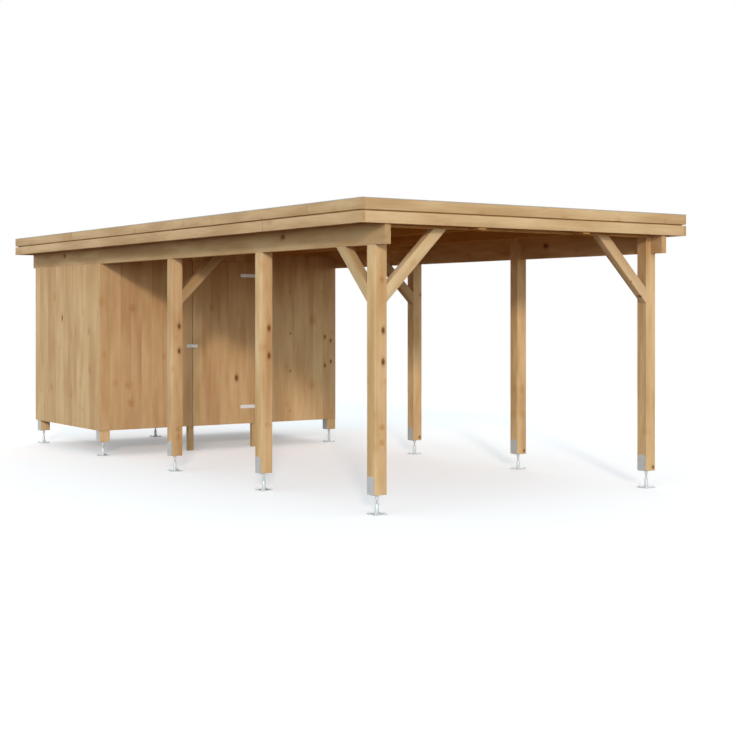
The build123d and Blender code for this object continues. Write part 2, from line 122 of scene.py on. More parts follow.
def split(tree, vector):
    return add(tree, "SeparateXYZ", {0: vector}).outputs


def object_place(tree):
    return add(tree, "TexCoord").outputs["Object"]


def mix(tree, factor, a, b, mode="MIX"):
    """Mix or multiply two colours."""
    made = add(tree, "Mix", {0: factor, 6: a, 7: b}, data_type="RGBA", blend_type=mode)
    return made.outputs[2]


def fade(tree, value, start, end, low=0.0, high=1.0):
    """A smooth step from one value to another."""
    inputs = {"Value": value, "From Min": start, "From Max": end, "To Min": low, "To Max": high}
    return add(tree, "MapRange", inputs, interpolation_type="SMOOTHSTEP").outputs[0]


def tinted(tree, factor, colour, tint):
    """A colour that is multiplied by a tint where the factor is 1."""
    return mix(tree, factor, colour, mix(tree, 1.0, colour, tint, "MULTIPLY"))


def noise(tree, vector, scale=1.0, detail=2.0, roughness=0.5):
    inputs = {"Vector": vector, "Scale": scale, "Detail": detail, "Roughness": roughness}
    return add(tree, "TexNoise", inputs).outputs["Fac"]


def stretched(tree, vector, factors, detail=2.0, roughness=0.5):
    """Noise of another size along each axis."""
    return noise(tree, scaled(tree, vector, factors), 1.0, detail, roughness)


def falling(tree, distance, most, rate):
    """A value that falls off with the square of a distance."""
    squared = times(tree, distance, distance)
    return maths(tree, "DIVIDE", most, plus(tree, 1.0, times(tree, squared, rate)))


def bump(tree, shader, height, strength, depth):
    """Relief on a shader."""
    made = add(tree, "Bump", {"Strength": strength, "Distance": depth, "Height": height})
    join(tree, made.outputs[0], shader.inputs["Normal"])


def blank_tree(owner):
    """The emptied node tree of a material or a world."""
    owner.use_nodes = True
    owner.node_tree.nodes.clear()
    return owner.node_tree


def seen_rays(tree):
    """1 for the rays that see the pale stage, 0 for those that only light the timber."""
    path = add(tree, "LightPath").outputs
    through = maths(tree, "MAXIMUM", path["Is Glossy Ray"], path["Is Transmission Ray"])
    return maths(tree, "MAXIMUM", path["Is Camera Ray"], through)


def group(name, inputs, outputs):
    """An empty node group whose sockets are given as names with their kinds."""
    tree = bpy.data.node_groups.new(name, "ShaderNodeTree")
    for direction, sockets in (("INPUT", inputs), ("OUTPUT", outputs)):
        for label, kind in sockets.items():
            tree.interface.new_socket(name=label, in_out=direction, socket_type="NodeSocket" + kind)
    given = tree.nodes.new("NodeGroupInput").outputs
    result = tree.nodes.new("NodeGroupOutput").inputs
    return tree, given, result


def use_group(tree, shared, inputs):
    """A shared effect placed in a material."""
    made = tree.nodes.new("ShaderNodeGroup")
    made.node_tree = shared
    for key, value in inputs.items():
        join(tree, value, made.inputs[key])
    return made.outputs


def blank_material(name):
    """A material with only a Principled shader; returns the material, its tree and the shader."""
    material = bpy.data.materials.new(name)
    tree = blank_tree(material)
    shader = tree.nodes.new("ShaderNodeBsdfPrincipled")
    out = tree.nodes.new("ShaderNodeOutputMaterial")
    tree.links.new(shader.outputs[0], out.inputs[0])
    return material, tree, shader


# ---- shared effects ----
KNOT_CELL_ACROSS = 6.5
KNOT_CELL_ALONG = 1.7
KNOT_LENGTHENING = 0.72
KNOT_CORE = (0.115, 0.042, 0.014, 1)
KNOT_RING = (0.36, 0.17, 0.065, 1)
KNOT_TINT = (0.74, 0.58, 0.46, 1)
CURL_TINT = (0.79, 0.60, 0.47, 1)
STAIN_TINT = (0.90, 0.74, 0.60, 1)
DARK_BOARD, LIGHT_BOARD = (0.91, 0.86, 0.83, 1), (1.08, 1.11, 1.10, 1)
SAW_DARK, SAW_LIGHT = (0.30, 0.19, 0.10, 1), (0.60, 0.44, 0.28, 1)
RING_SPACING = 0.0048
SURFACE = {"Color": "Color", "Roughness": "Float", "Height": "Float"}


def make_timber():
    """Softwood with rings, streaks, fibres and knots. The vector is in metres with the grain along Z."""
    tree, given, result = group("Timber", {
        "Vector": "Vector", "Tone": "Float", "Light": "Color", "Dark": "Color", "Knots": "Float",
        "Knot Distance": "Float", "Swirl Distance": "Float", "Sawn": "Float",
    }, SURFACE)
    place, swirl, sawn = given["Vector"], given["Swirl Distance"], given["Sawn"]

    # Small knots, by chance in the cells of a long pattern, and the chosen knots.
    axes = split(tree, place)
    cell = add(tree, "CombineXYZ", {
        0: times(tree, plus(tree, axes[0], axes[1]), KNOT_CELL_ACROSS),
        1: times(tree, axes[2], KNOT_CELL_ALONG),
    }).outputs[0]
    cells = add(tree, "TexVoronoi", {"Vector": cell, "Scale": 1.0, "Randomness": 0.8},
                voronoi_dimensions="2D").outputs
    delta = vector_maths(tree, "SUBTRACT", cell, cells["Position"])
    reach = length(tree, scaled(tree, delta, (1 / KNOT_CELL_ACROSS, KNOT_LENGTHENING / KNOT_CELL_ALONG, 0)))
    chance = add(tree, "SeparateColor", {0: cells["Color"]}).outputs
    present = maths(tree, "LESS_THAN", chance[0], given["Knots"])
    size = plus(tree, 0.0045, times(tree, chance[1], 0.010))
    size = plus(tree, 0.0002, times(tree, size, present))
    distance = maths(tree, "MINIMUM", maths(tree, "DIVIDE", reach, size), given["Knot Distance"])
    bend = plus(tree, falling(tree, distance, 0.009, 0.3), falling(tree, swirl, 0.022, 2.5))

    # Growth rings about the pith, bent by the knots, with streaks and fibres.
    wander = times(tree, less(tree, stretched(tree, place, (3.0, 3.0, 0.55)), 0.5), 0.055)
    from_pith = length(tree, scaled(tree, place, (1, 1, 0)))
    radius = plus(tree, plus(tree, from_pith, wander), bend)
    ring = maths(tree, "FRACT", maths(tree, "DIVIDE", radius, RING_SPACING))
    ring = maths(tree, "POWER", ring, 2.6)
    band = add(tree, "TexNoise", {"W": times(tree, radius, 80.0), "Scale": 1.0, "Detail": 2.0},
               noise_dimensions="1D").outputs["Fac"]
    streak = stretched(tree, place, (62, 62, 1.1), 3.0, 0.6)
    broad = stretched(tree, place, (7.5, 7.5, 1.3), 3.0)
    fibre = stretched(tree, place, (420, 420, 14))
    figure = times(tree, ring, 0.12)
    for part, share in ((band, 0.14), (streak, 0.13), (broad, 1.30), (fibre, 0.10)):
        figure = plus(tree, figure, times(tree, part, share))
    colour = mix(tree, fade(tree, figure, 0.54, 1.20), given["Light"], given["Dark"])
    colour = mix(tree, 1.0, colour, mix(tree, given["Tone"], DARK_BOARD, LIGHT_BOARD), "MULTIPLY")

    # Brown stains, curls of the grain and knots.
    stain_size = plus(tree, 0.030, times(tree, chance[2], 0.035))
    stain = fade(tree, maths(tree, "DIVIDE", reach, stain_size), 1.0, 0.1, 0.0, 0.55)
    stained = maths(tree, "LESS_THAN", chance[0], plus(tree, given["Knots"], 0.4))
    colour = tinted(tree, times(tree, stain, stained), colour, STAIN_TINT)
    broken = stretched(tree, place, (70, 70, 26))
    curl = times(tree, fade(tree, swirl, 1.0, 0.1), fade(tree, broken, 0.35, 0.62, 0.30, 0.85))
    colour = tinted(tree, curl, colour, CURL_TINT)
    colour = tinted(tree, fade(tree, distance, 2.4, 1.0, 0.0, 0.75), colour, KNOT_TINT)
    core = fade(tree, distance, 1.12, 0.82)
    inside = maths(tree, "FRACT", times(tree, distance, 3.2))
    colour = mix(tree, core, colour, mix(tree, times(tree, inside, 0.35), KNOT_CORE, KNOT_RING))

    # Saw marks across the grain.
    marks = stretched(tree, place, (60, 60, 210), 1.0)
    colour = mix(tree, times(tree, sawn, 0.25), colour, mix(tree, marks, SAW_DARK, SAW_LIGHT))
    join(tree, colour, result["Color"])
    roughness = plus(tree, 0.56, times(tree, fibre, 0.16))
    join(tree, less(tree, roughness, times(tree, core, 0.14)), result["Roughness"])
    height = plus(tree, times(tree, ring, 0.35), times(tree, fibre, 0.5))
    height = plus(tree, height, times(tree, core, 0.5))
    height = plus(tree, height, times(tree, times(tree, marks, sawn), 1.5))
    join(tree, height, result["Height"])
    return tree


def make_knot():
    """How far a point is from one knot, in knot radii; it passes on the nearer of this and another knot."""
    tree, given, result = group("Knot", {
        "Vector": "Vector", "Centre": "Vector", "Stretch": "Vector", "Radius": "Float", "Other": "Float",
    }, {"Distance": "Float"})
    delta = vector_maths(tree, "SUBTRACT", given["Vector"], given["Centre"])
    reach = length(tree, scaled(tree, delta, given["Stretch"]))
    wobble = noise(tree, given["Vector"], 90.0, 1.0)
    reach = times(tree, reach, plus(tree, 0.8, times(tree, wobble, 0.4)))
    nearest = maths(tree, "MINIMUM", maths(tree, "DIVIDE", reach, given["Radius"]), given["Other"])
    join(tree, nearest, result["Distance"])
    return tree


def make_edges():
    """Where a square timber's rounded arrises and its sawn ends are."""
    tree, given, result = group("Edges", {"Grain": "Vector"}, {"Arris": "Float", "End": "Float"})
    normal = add(tree, "TexCoord").outputs["Normal"]
    size = add(tree, "VectorMath", {0: normal}, operation="ABSOLUTE").outputs[0]
    axes = split(tree, size)
    largest = maths(tree, "MAXIMUM", maths(tree, "MAXIMUM", axes[0], axes[1]), axes[2])
    join(tree, fade(tree, largest, 0.985, 0.80), result["Arris"])
    along = add(tree, "VectorMath", {0: size, 1: given["Grain"]}, operation="DOT_PRODUCT")
    join(tree, fade(tree, along.outputs["Value"], 0.80, 0.98), result["End"])
    return tree


def make_zinc():
    """Zinc coating: pale crystals, dull streaks and fine scratches."""
    tree, given, result = group("Zinc", {
        "Vector": "Vector", "Pale": "Color", "Dull": "Color", "Size": "Float",
    }, SURFACE)
    crystals = add(tree, "TexVoronoi", {"Vector": given["Vector"], "Scale": given["Size"]})
    flake = add(tree, "SeparateColor", {0: crystals.outputs["Color"]}).outputs[0]
    cloud = noise(tree, given["Vector"], 28.0, 3.0)
    scratch = stretched(tree, given["Vector"], (900, 900, 60))
    share = plus(tree, times(tree, flake, 0.45), times(tree, cloud, 0.55))
    join(tree, mix(tree, share, given["Pale"], given["Dull"]), result["Color"])
    rough = plus(tree, 0.30, times(tree, cloud, 0.22))
    join(tree, plus(tree, rough, times(tree, scratch, 0.10)), result["Roughness"])
    join(tree, plus(tree, times(tree, flake, 0.4), scratch), result["Height"])
    return tree


TIMBER = make_timber()
KNOT = make_knot()
EDGES = make_edges()
ZINC = make_zinc()

# The light and the dark wood of each finish.
POST_WOOD = ((0.64, 0.430, 0.240, 1), (0.46, 0.265, 0.118, 1))
FASCIA_WOOD = ((0.60, 0.415, 0.240, 1), (0.45, 0.280, 0.140, 1))
BOARD_WOOD = ((0.575, 0.377, 0.203, 1), (0.46, 0.265, 0.124, 1))
BRACE_WOOD = ((0.66, 0.485, 0.295, 1), (0.50, 0.325, 0.170, 1))
# A darker wood for timbers that stand in shade: painted shade.
SHADED_WOOD = ((0.52, 0.355, 0.195, 1), (0.38, 0.222, 0.100, 1))
INNER_WOOD = ((0.67, 0.400, 0.178, 1), (0.48, 0.245, 0.088, 1))
# The pale colour of the painted highlight on rounded arrises.
ARRIS_HIGHLIGHT_COLOUR = (0.74, 0.55, 0.35, 1)
END_TINT = (0.91, 0.885, 0.85, 1)


def finish_wood(tree, shader, vector, tone, woods, grain, knots, distances, sawn, arris_highlight):
    """Wire the timber pattern, a painted highlight on its rounded arrises, and its ends to a material's
    shader.
    """
    wood = use_group(tree, TIMBER, {
        "Vector": vector, "Tone": tone, "Light": woods[0], "Dark": woods[1], "Knots": knots,
        "Knot Distance": distances[0], "Swirl Distance": distances[1], "Sawn": sawn,
    })
    colour = wood["Color"]
    if arris_highlight is not None:
        # Painted highlight: the rounded arrises are lightened towards a pale colour. The sawn ends get their
        # tint.
        marks = use_group(tree, EDGES, {"Grain": AXES[grain]})
        colour = mix(tree, times(tree, marks["Arris"], arris_highlight), colour, ARRIS_HIGHLIGHT_COLOUR)
        colour = tinted(tree, marks["End"], colour, END_TINT)
    join(tree, colour, shader.inputs["Base Color"])
    join(tree, wood["Roughness"], shader.inputs["Roughness"])
    shader.inputs["Specular IOR Level"].default_value = 0.0 if woods is INNER_WOOD else 0.14
    bump(tree, shader, wood["Height"], 0.35, 0.0008)


def knot_chain(tree, knots):
    """The distance to the nearest of some chosen knots: each is a centre, a radius and a stretch."""
    distance = 9.0
    place = object_place(tree)
    for centre, radius, stretch in knots:
        distance = use_group(tree, KNOT, {
            "Vector": place, "Centre": centre, "Radius": radius, "Stretch": stretch, "Other": distance,
        })["Distance"]
    return distance


GRAIN_TURN = {"X": (0, -math.pi / 2, 0), "Y": (math.pi / 2, 0, 0), "Z": (0, 0, 0)}
AXES = {"X": X_AXIS, "Y": Y_AXIS, "Z": Z_AXIS}
# The width over which the painted light on a post's left side fades out.
PAINTED_LIGHT_FADE = 0.07


def dress_timber(node, woods, grain, tone, amount=0.12, chosen=(), swirls=(), arris_highlight=0.30, painted_light_from=None):
    """Give a kept timber of the frame a solid pattern about its own centre line.

    From the given edge on, across X, the tone falls from the lightest to its own: painted light on the
    timber's left face and the left edge of its front.
    """
    material, tree, shader = blank_material(node)
    shift = Vector((dice.uniform(-0.03, 0.03), dice.uniform(-0.03, 0.03), dice.uniform(-9, 9)))
    turn = Euler(GRAIN_TURN[grain])
    vector = add(tree, "Mapping", {
        "Vector": object_place(tree), "Location": shift - turn.to_matrix() @ middle(node), "Rotation": turn,
    }).outputs[0]
    distances = knot_chain(tree, chosen), knot_chain(tree, swirls)
    # Painted light: the left face, and the front near it, are lifted to the lightest tone.
    if painted_light_from is not None:
        across = split(tree, object_place(tree))[0]
        tone = fade(tree, across, painted_light_from, painted_light_from + PAINTED_LIGHT_FADE, 1.0, tone)
    finish_wood(tree, shader, vector, tone, woods, grain, amount, distances, 0.0, arris_highlight)
    dress(node, material)


def board_wood(name, woods, grain, amount=0.12, chosen=(), swirls=(), sawn=0.0, arris_highlight=0.10):
    """The material of pieces made of boards: each board carries its own grain place and tone."""
    material, tree, shader = blank_material(name)
    vector = add(tree, "Attribute", attribute_name="grain").outputs["Vector"]
    tone = add(tree, "Attribute", attribute_name="tone").outputs["Fac"]
    distances = knot_chain(tree, chosen), knot_chain(tree, swirls)
    finish_wood(tree, shader, vector, tone, woods, grain, amount, distances, sawn, arris_highlight)
    return material


def zinc_material(name, pale, dull, size, metallic=0.35):
    """Zinc-coated steel."""
    material, tree, shader = blank_material(name)
    zinc = use_group(tree, ZINC, {"Vector": object_place(tree), "Pale": pale, "Dull": dull, "Size": size})
    join(tree, zinc["Color"], shader.inputs["Base Color"])
    join(tree, zinc["Roughness"], shader.inputs["Roughness"])
    shader.inputs["Metallic"].default_value = metallic
    bump(tree, shader, zinc["Height"], 0.12, 0.0004)
    return material


def membrane_material(name):
    """Dark roofing membrane with a fine mineral grit, dust and drying marks."""
    material, tree, shader = blank_material(name)
    place = object_place(tree)
    grit = noise(tree, place, 900.0, 2.0)
    cloud = noise(tree, place, 1.3, 4.0, 0.6)
    colour = mix(tree, fade(tree, grit, 0.4, 0.7), (0.060, 0.056, 0.053, 1), (0.135, 0.127, 0.120, 1))
    colour = mix(tree, fade(tree, cloud, 0.45, 0.75, 0.0, 0.5), colour, (0.19, 0.175, 0.155, 1))
    join(tree, colour, shader.inputs["Base Color"])
    join(tree, fade(tree, cloud, 0.3, 0.8, 0.72, 0.9), shader.inputs["Roughness"])
    bump(tree, shader, grit, 0.4, 0.0006)
    return material


# ---- mesh helpers ----
def start():
    """An empty mesh whose points can carry a board's grain place and tone."""
    bm = bmesh.new()
    bm.verts.layers.float_vector.new("grain")
    bm.verts.layers.float.new("tone")
    bm.verts.layers.int.new("settled")
    return bm


def fresh(bm):
    """The points made since the last board was settled."""
    settled = bm.verts.layers.int["settled"]
    return [v for v in bm.verts if v[settled] == 0]


def settle(bm, centre, across=X_AXIS, through=Y_AXIS, along=Z_AXIS, tone=None, pith=0.07):
    """Give the fresh points their place in the board: across, through and along the grain."""
    grain = bm.verts.layers.float_vector["grain"]
    tone_layer = bm.verts.layers.float["tone"]
    settled = bm.verts.layers.int["settled"]
    shift = Vector((dice.uniform(-0.05, 0.05), pith + dice.uniform(0.0, 0.05), dice.uniform(-9, 9)))
    shade = dice.uniform(0.2, 0.8) if tone is None else tone
    for v in fresh(bm):
        part = v.co - centre
        v[grain] = Vector((part.dot(across), part.dot(through), part.dot(along))) + shift
        v[tone_layer] = shade
        v[settled] = 1


def bevel(bm, edges, amount, segments):
    """Round some edges off."""
    bmesh.ops.bevel(bm, geom=edges, offset=amount, offset_type="OFFSET", segments=segments, profile=0.5,
                    affect="EDGES", material=-1)


def round_edges(bm, verts, rounding, grain=None, segments=2):
    """Bevel the edges among some points: all of them, or only those that run along the grain."""
    chosen = set(verts)
    edges = {e for v in verts for e in v.link_edges if e.other_vert(v) in chosen}
    if grain is not None:
        edges = {e for e in edges if abs((e.verts[0].co - e.verts[1].co).normalized().dot(grain)) > 0.99}
    bevel(bm, sorted(edges, key=lambda e: e.index), rounding, segments)


def push_out(bm, outline, push):
    """A flat outline given by its corners, pushed out along a vector."""
    face = bm.faces.new([bm.verts.new(point) for point in outline])
    grown = bmesh.ops.extrude_face_region(bm, geom=[face])["geom"]
    moved = [v for v in grown if isinstance(v, bmesh.types.BMVert)]
    bmesh.ops.translate(bm, vec=push, verts=moved)
    bm.verts.index_update()
    bm.edges.index_update()
    return fresh(bm)


def block(bm, low, high):
    """A box between two corners."""
    low, high = Vector(low), Vector(high)
    made = bmesh.ops.create_cube(bm, size=1.0)["verts"]
    bmesh.ops.scale(bm, vec=high - low, verts=made)
    bmesh.ops.translate(bm, vec=(low + high) / 2, verts=made)
    bm.verts.index_update()
    bm.edges.index_update()
    return made


def board(bm, low, high, grain, rounding=0.002, segments=2, tone=None):
    """One square-edged board or timber between two corners, with its long edges rounded."""
    low, high = Vector(low), Vector(high)
    along = AXES[grain]
    made = block(bm, low, high)
    round_edges(bm, made, rounding, along, segments)
    others = [axis for key, axis in AXES.items() if key != grain]
    others.sort(key=lambda axis: (high - low).dot(axis))
    settle(bm, (low + high) / 2, others[1], others[0], along, tone)


def finish_piece(bm, name, materials, stands_for=(), body="root", smooth=True):
    """Turn a mesh into a piece that rides on a body and stands for its frame nodes."""
    bmesh.ops.recalc_face_normals(bm, faces=bm.faces)
    if "settled" in bm.verts.layers.int.keys():
        bm.verts.layers.int.remove(bm.verts.layers.int["settled"])
    mesh = bpy.data.meshes.new(name)
    bm.to_mesh(mesh)
    bm.free()
    for material in materials:
        mesh.materials.append(material)
    if smooth:
        mesh.shade_smooth()
        mesh.set_sharp_from_angle(angle=math.radians(40))
    piece = new_object(name, mesh)
    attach(piece, body)
    if stands_for:
        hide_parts(*stands_for)


def dress(node, material):
    """Give a kept frame node its material."""
    mesh = NODES[node].data
    mesh.materials.clear()
    mesh.materials.append(material)


def box(node):
    """The two corners of a frame node."""
    low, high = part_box(node)
    return Vector(low), Vector(high)


def middle(node):
    """The centre of a frame node's box."""
    low, high = box(node)
    return (low + high) / 2


def steps(low, high, wanted):
    """The edges of equal boards that fill a width."""
    count = max(1, round((high - low) / wanted))
    return [low + (high - low) * i / count for i in range(count + 1)]


# ---- posts, beams and purlins from the frame ----
# Knots and swirls of the posts' front faces are given by their heights.
POST_KNOTS = (1.53, 1.27)
POST_TONES = {"left_post_1": 0.38, "left_post_2": 0.15, "left_post_3": 0.30, "left_post_4": 0.50,
              "right_post_1": 0.58, "right_post_2": 0.65, "right_post_3": 0.85, "right_post_4": 1.0}
POST_SWIRLS = {"left_post_3": (0.45, 0.36), "left_post_2": (0.62,), "left_post_1": (0.60, 0.73, 1.95)}
# Posts whose left face is painted lighter, as if lit from the left.
PAINTED_LIGHT_POSTS = ("left_post_1", "left_post_2", "right_post_2")
BEAM_KNOT_STRETCH = (0.4, 0.6, 0.9)


def dress_frame():
    """Wood for the posts, beams, purlins and door posts."""
    for side in ("left", "right"):
        for number in range(1, 6):
            node = f"{side}_post_{number}"
            low, high = box(node)
            chosen = []
            if number < 4 and side == "left":
                chosen = [((high.x - 0.038, low.y, z), 0.0155, (1, 0.4, 0.6)) for z in POST_KNOTS]
            elif number < 4:
                chosen = [((high.x - 0.03, low.y, 0.20), 0.012, (1, 0.4, 0.8))]
            tone = POST_TONES.get(node, dice.uniform(0.4, 0.7))
            swirls = [((high.x - 0.05, low.y, z), 0.040, (1, 0.4, 0.9)) for z in POST_SWIRLS.get(node, ())]
            painted_light_from = low.x if node in PAINTED_LIGHT_POSTS else None
            dress_timber(node, POST_WOOD, "Z", tone, 0.06, chosen, swirls, painted_light_from=painted_light_from)
    dress_timber("back_post", POST_WOOD, "Z", 0.5)
    # The left side beam, in shade under the roof's overhang, takes the darker wood as painted shade. The right
    # one takes the post wood.
    for node, woods in (("side_beam_left", SHADED_WOOD), ("side_beam_right", POST_WOOD)):
        low, high = box(node)
        outer, inner = (low.x, high.x) if woods is SHADED_WOOD else (high.x, low.x)
        knots = ((outer, 2.925, 2.365, 0.019), (outer, -2.325, 2.367, 0.019), (inner, -2.314, 2.369, 0.022))
        chosen = [((x, y, z), radius, BEAM_KNOT_STRETCH) for x, y, z, radius in knots]
        dress_timber(node, woods, "Y", 0.5, 0.0, chosen)
    for place in ("front", "middle", "store", "back"):
        dress_timber("cross_beam_" + place, INNER_WOOD, "X", dice.uniform(0.3, 0.6), arris_highlight=0.05)
    for side in ("left", "right"):
        dress_timber("purlin_" + side, INNER_WOOD, "Y", dice.uniform(0.3, 0.6), arris_highlight=0.0)
    dress_timber("door_posts", POST_WOOD, "Z", 0.45)


# ---- braces ----
BRACE_THICKNESS = 0.080
BRACE_CUT = 0.100 * math.sqrt(2)
BRACE_FOOT = 1.766
POST_SIDE = 0.120


def brace(bm, foot, out, top, through, tone):
    """A timber at 45 degrees from a post's face up to a beam's underside."""
    reach = top - foot.z
    start_low, end_low = foot, foot + out * reach + Z_AXIS * reach
    outline = [start_low, end_low, end_low - out * BRACE_CUT, start_low + Z_AXIS * BRACE_CUT]
    made = push_out(bm, outline, through * BRACE_THICKNESS)
    along = (end_low - start_low).normalized()
    round_edges(bm, made, 0.004, along, 3)
    settle(bm, (start_low + end_low) / 2 + through * BRACE_THICKNESS / 2, along.cross(through), through, along,
           tone, 0.02)


def add_braces():
    """Lengthwise and crosswise braces on both sides."""
    face_y = box("right_post_1")[0].y
    knots = [((1.44, face_y + 0.025, 1.831), 0.014, (1, 0.7, 1)), ((1.31, face_y, 1.97), 0.006, (1, 0.5, 1))]
    material = board_wood("brace_wood", BRACE_WOOD, "Z", 0.06, knots, arris_highlight=None)
    # A darker wood for the lengthwise and third-row braces: painted shade.
    darker = board_wood("shaded_brace_wood", SHADED_WOOD, "Z", 0.06, arris_highlight=None)
    beam_under = box("side_beam_left")[0].z
    cross_under = box("cross_beam_front")[0].z
    first, third = box("left_post_1")[0].y, box("left_post_3")[0].y
    for side, sign, front_tone in (("left", -1, 0.70), ("right", 1, 0.0)):
        bm = start()
        outer = sign * box("side_beam_right")[1].x
        inner = outer - sign * POST_SIDE
        inward = X_AXIS * -sign
        brace(bm, Vector((outer, first + POST_SIDE, BRACE_FOOT)), Y_AXIS, beam_under, inward, 0.90)
        lengthwise = set(bm.faces)
        brace(bm, Vector((inner, first, BRACE_FOOT)), inward, cross_under, Y_AXIS, front_tone)
        front = set(bm.faces) - lengthwise
        brace(bm, Vector((inner, third, BRACE_FOOT)), inward, cross_under, Y_AXIS, 0.25)
        # Only the front crosswise braces keep the paler wood. The lengthwise and third-row braces carry the
        # painted shade.
        for face in bm.faces:
            face.material_index = 0 if face in front else 1
        finish_piece(bm, f"braces_{side}_timber", [material, darker], [f"braces_{side}"])


# ---- fascia, battens, deck and roof ----
GROOVE = 0.012
JOINT_GAP = 0.0035
FASCIA_JOINTS = {
    "fascia_left": ((-2.37,), (-3.13, 2.105)), "fascia_right": ((1.42,), (-1.95, 2.6)),
    "fascia_front": ((), ()), "fascia_back": ((0.6,), (-0.7,)),
}
FASCIA_TONES = {"fascia_left": 0.20, "fascia_right": 0.50, "fascia_front": 0.60, "fascia_back": 0.50}


def span(low, high, axis, first, last):
    """The corners of a box that reaches from first to last along X or Y."""
    low, high = low.copy(), high.copy()
    index = "XY".index(axis)
    low[index], high[index] = first, last
    return low, high


def add_fascia():
    """Two boards on edge all round, in lengths that meet in tight butt joints."""
    for node, joints in FASCIA_JOINTS.items():
        grain = "Y" if node in ("fascia_left", "fascia_right") else "X"
        along = AXES[grain]
        material = board_wood(node + "_wood", FASCIA_WOOD, grain, 0.06)
        low, high = box(node)
        tall = (high.z - low.z - GROOVE) / 2
        bm = start()
        for bottom, cuts in zip((low.z, high.z - tall), joints):
            inner_ends = [end for cut in cuts for end in (cut - JOINT_GAP, cut + JOINT_GAP)]
            ends = [low.dot(along), *inner_ends, high.dot(along)]
            for first, last in zip(ends[::2], ends[1::2]):
                a, b = span(low, high, grain, first, last)
                a.z, b.z = bottom, bottom + tall
                board(bm, a, b, grain, 0.002, 2, FASCIA_TONES[node] + dice.uniform(-0.12, 0.12))
        finish_piece(bm, node + "_boards", [material], [node])


BATTEN = 0.040
BATTEN_GAP = 0.001


def add_battens():
    """Battens behind the fascia's upper boards."""
    low, high = box("fascia_battens")
    bm = start()
    for x0 in (low.x, high.x - BATTEN):
        board(bm, (x0, low.y, low.z), (x0 + BATTEN, high.y, high.z), "Y", 0.001, 1)
    left, right = low.x + BATTEN + BATTEN_GAP, high.x - BATTEN - BATTEN_GAP
    for y0 in (low.y, high.y - BATTEN):
        board(bm, (left, y0, low.z), (right, y0 + BATTEN, high.z), "X", 0.001, 1)
    material = board_wood("batten_wood", INNER_WOOD, "Y", 0.1, sawn=0.15, arris_highlight=None)
    finish_piece(bm, "roof_battens", [material], ["fascia_battens"])


DECK_BOARD = 0.146


def add_deck():
    """Tongued roof boards that run across, with V joints on the underside."""
    low, high = box("roof_deck")
    bm = start()
    edges = steps(low.y, high.y, DECK_BOARD)
    for first, last in pairwise(edges):
        board(bm, *span(low, high, "Y", first, last), "X", 0.002, 1)
    material = board_wood("deck_wood", INNER_WOOD, "X", 0.10, arris_highlight=0.0)
    finish_piece(bm, "roof_deck_boards", [material], ["roof_deck"])


SHEET_WIDTH = 1.0
SHEET_THICKNESS = 0.0025
LAP = 0.05


def add_covering():
    """Membrane sheets with welded laps."""
    low, high = box("roof_covering")
    top = low.z + SHEET_THICKNESS
    bm = start()
    edges = steps(low.y, high.y, SHEET_WIDTH)
    for first, last in pairwise(edges):
        block(bm, (low.x, first, low.z), (high.x, last, top))
        settle(bm, Vector((0, first, low.z)), X_AXIS, Z_AXIS, Y_AXIS)
    for edge in edges[1:-1]:
        made = block(bm, (low.x, edge - LAP, top), (high.x, edge + LAP, high.z))
        round_edges(bm, made, 0.0008, None, 1)
        settle(bm, Vector((0, edge, low.z)), X_AXIS, Z_AXIS, Y_AXIS)
    membrane = membrane_material("roof_membrane")
    finish_piece(bm, "roof_membrane", [membrane], ["roof_covering"])


# ---- store room cladding ----
BOARD_WIDTH = 0.136
V_JOINT = 0.0012
NOTCH_BOTTOM = 2.240


def clad(bm, edges, low, high, across, tones=None):
    """Upright boards between two corners; across is X or Y."""
    for index, (first, last) in enumerate(pairwise(edges)):
        tone = tones[index % len(tones)] if tones else None
        board(bm, *span(low, high, across, first, last), "Z", V_JOINT, 1, tone)


def notched_board(bm, x0, x1, notch_x, low, high, tone):
    """An upright corner board that is cut away above a side beam's underside."""
    outer, inner = (x0, x1) if abs(x0) > abs(x1) else (x1, x0)
    outline = [Vector((x, low.y, z)) for x, z in (
        (outer, low.z), (inner, low.z), (inner, high.z), (notch_x, high.z), (notch_x, NOTCH_BOTTOM),
        (outer, NOTCH_BOTTOM))]
    made = push_out(bm, outline, Y_AXIS * (high.y - low.y))
    round_edges(bm, made, V_JOINT, Z_AXIS, 1)
    centre = Vector(((x0 + x1) / 2, (low.y + high.y) / 2, (low.z + high.z) / 2))
    settle(bm, centre, tone=tone)


def finish_cladding(bm, name, node, amount=0.0, chosen=(), swirls=(), body="root"):
    """Turn upright boards into a piece with its own wood."""
    material = board_wood(name + "_wood", BOARD_WOOD, "Z", amount, chosen, swirls, arris_highlight=0.0)
    finish_piece(bm, name + "_boards", [material], [node], body)


def clad_side(node, tones=None, **marks):
    """Boards on a long side of the store room."""
    low, high = box(node)
    bm = start()
    clad(bm, steps(low.y, high.y, BOARD_WIDTH), low, high, "Y", tones)
    finish_cladding(bm, node, node, **marks)


def clad_end(node, corners, tones=None, last_cover=None, **marks):
    """Boards on a short side, with the first or last board cut away round the side beams.

    From last_cover on, one wider board runs to the corner.
    """
    low, high = box(node)
    edges = steps(low.x, last_cover or high.x, BOARD_WIDTH)
    if last_cover:
        edges.append(high.x)
    beam_in = abs(box("side_beam_left")[1].x)
    tones = list(tones) if tones else [dice.uniform(0.2, 0.8) for _ in edges[1:]]
    bm = start()
    if "first" in corners:
        notched_board(bm, edges[0], edges[1], -beam_in, low, high, tones[0])
        edges, tones = edges[1:], tones[1:]
    if "last" in corners:
        notched_board(bm, edges[-2], edges[-1], beam_in, low, high, tones[-1])
        edges = edges[:-1]
    clad(bm, edges, low, high, "X", tones)
    finish_cladding(bm, node, node, **marks)


